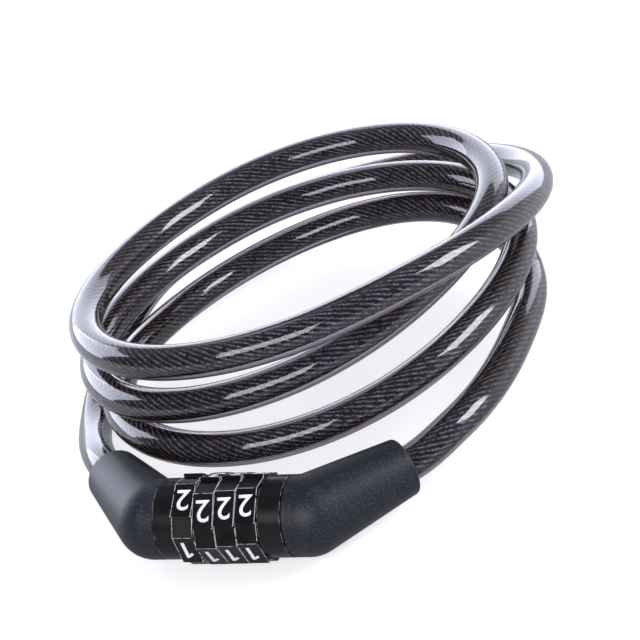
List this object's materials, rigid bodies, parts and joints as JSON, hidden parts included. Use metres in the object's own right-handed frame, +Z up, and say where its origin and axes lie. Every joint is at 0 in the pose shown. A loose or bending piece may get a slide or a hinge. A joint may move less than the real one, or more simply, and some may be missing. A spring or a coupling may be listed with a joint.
{
  "type": "combination cable lock",
  "caption": "Steel cable lock in a smoked plastic sheath, wound up, with a numbered-dial barrel between two elbow covers and a plug that pulls out.",
  "frame": {"origin": "on the surface the lock rests on, under the middle of the barrel and its covers' bounding box", "axes": "+X along the barrel towards the plug half, +Y from the barrel towards the wound cable, +Z up"},
  "size_m": [0.1809, 0.2381, 0.0691],
  "materials": {
    "cover_plastic": "fine-grained charcoal moulding",
    "barrel_black": "satin black paint with bare edges",
    "dial_black": "satin black with worn silver edges and white digits",
    "brass": "turned",
    "steel": "turned, bright zinc",
    "sheath_plastic": "smoked translucent PVC, glossy",
    "wire_rope": "stranded wire"
  },
  "bodies": {
    "lock": {"lock_cover": "cover_plastic", "lock_body": "barrel_black", "end_cap": "barrel_black", "end_cap_pin": "steel", "click_spring": "steel", "lock_ferrule": "steel", "lock_cross_pin": "steel", "coil_sheath": "sheath_plastic", "coil_rope": "wire_rope"},
    "wheel_1": {"dial_1": "dial_black", "code_ring_1": "brass"},
    "wheel_2": {"dial_2": "dial_black", "code_ring_2": "brass"},
    "wheel_3": {"dial_3": "dial_black", "code_ring_3": "brass"},
    "wheel_4": {"dial_4": "dial_black", "code_ring_4": "brass"},
    "plug": {"plug_cover": "cover_plastic", "plug_shank": "steel", "plug_ferrule": "steel", "plug_cross_pin": "steel", "lead_sheath": "sheath_plastic", "lead_rope": "wire_rope"}
  },
  "joints": [
    {"name": "dial_1_turn", "type": "hinge", "parent": "lock", "child": "wheel_1", "pos_m": [-0.01135, -0.00849, 0.01459], "axis": [1, 0, 0], "continuous": true, "deforming": ["click_spring"]},
    {"name": "dial_2_turn", "type": "hinge", "parent": "lock", "child": "wheel_2", "pos_m": [-0.00405, -0.00849, 0.01459], "axis": [1, 0, 0], "continuous": true, "deforming": ["click_spring"]},
    {"name": "dial_3_turn", "type": "hinge", "parent": "lock", "child": "wheel_3", "pos_m": [0.00325, -0.00849, 0.01459], "axis": [1, 0, 0], "continuous": true, "deforming": ["click_spring"]},
    {"name": "dial_4_turn", "type": "hinge", "parent": "lock", "child": "wheel_4", "pos_m": [0.01055, -0.00849, 0.01459], "axis": [1, 0, 0], "continuous": true, "deforming": ["click_spring"]},
    {"name": "plug_slide", "type": "slide", "parent": "lock", "child": "plug", "axis": [1, 0, 0], "range_m": [0, 0.03955], "deforming": ["lead_sheath", "lead_rope"]}
  ]
}
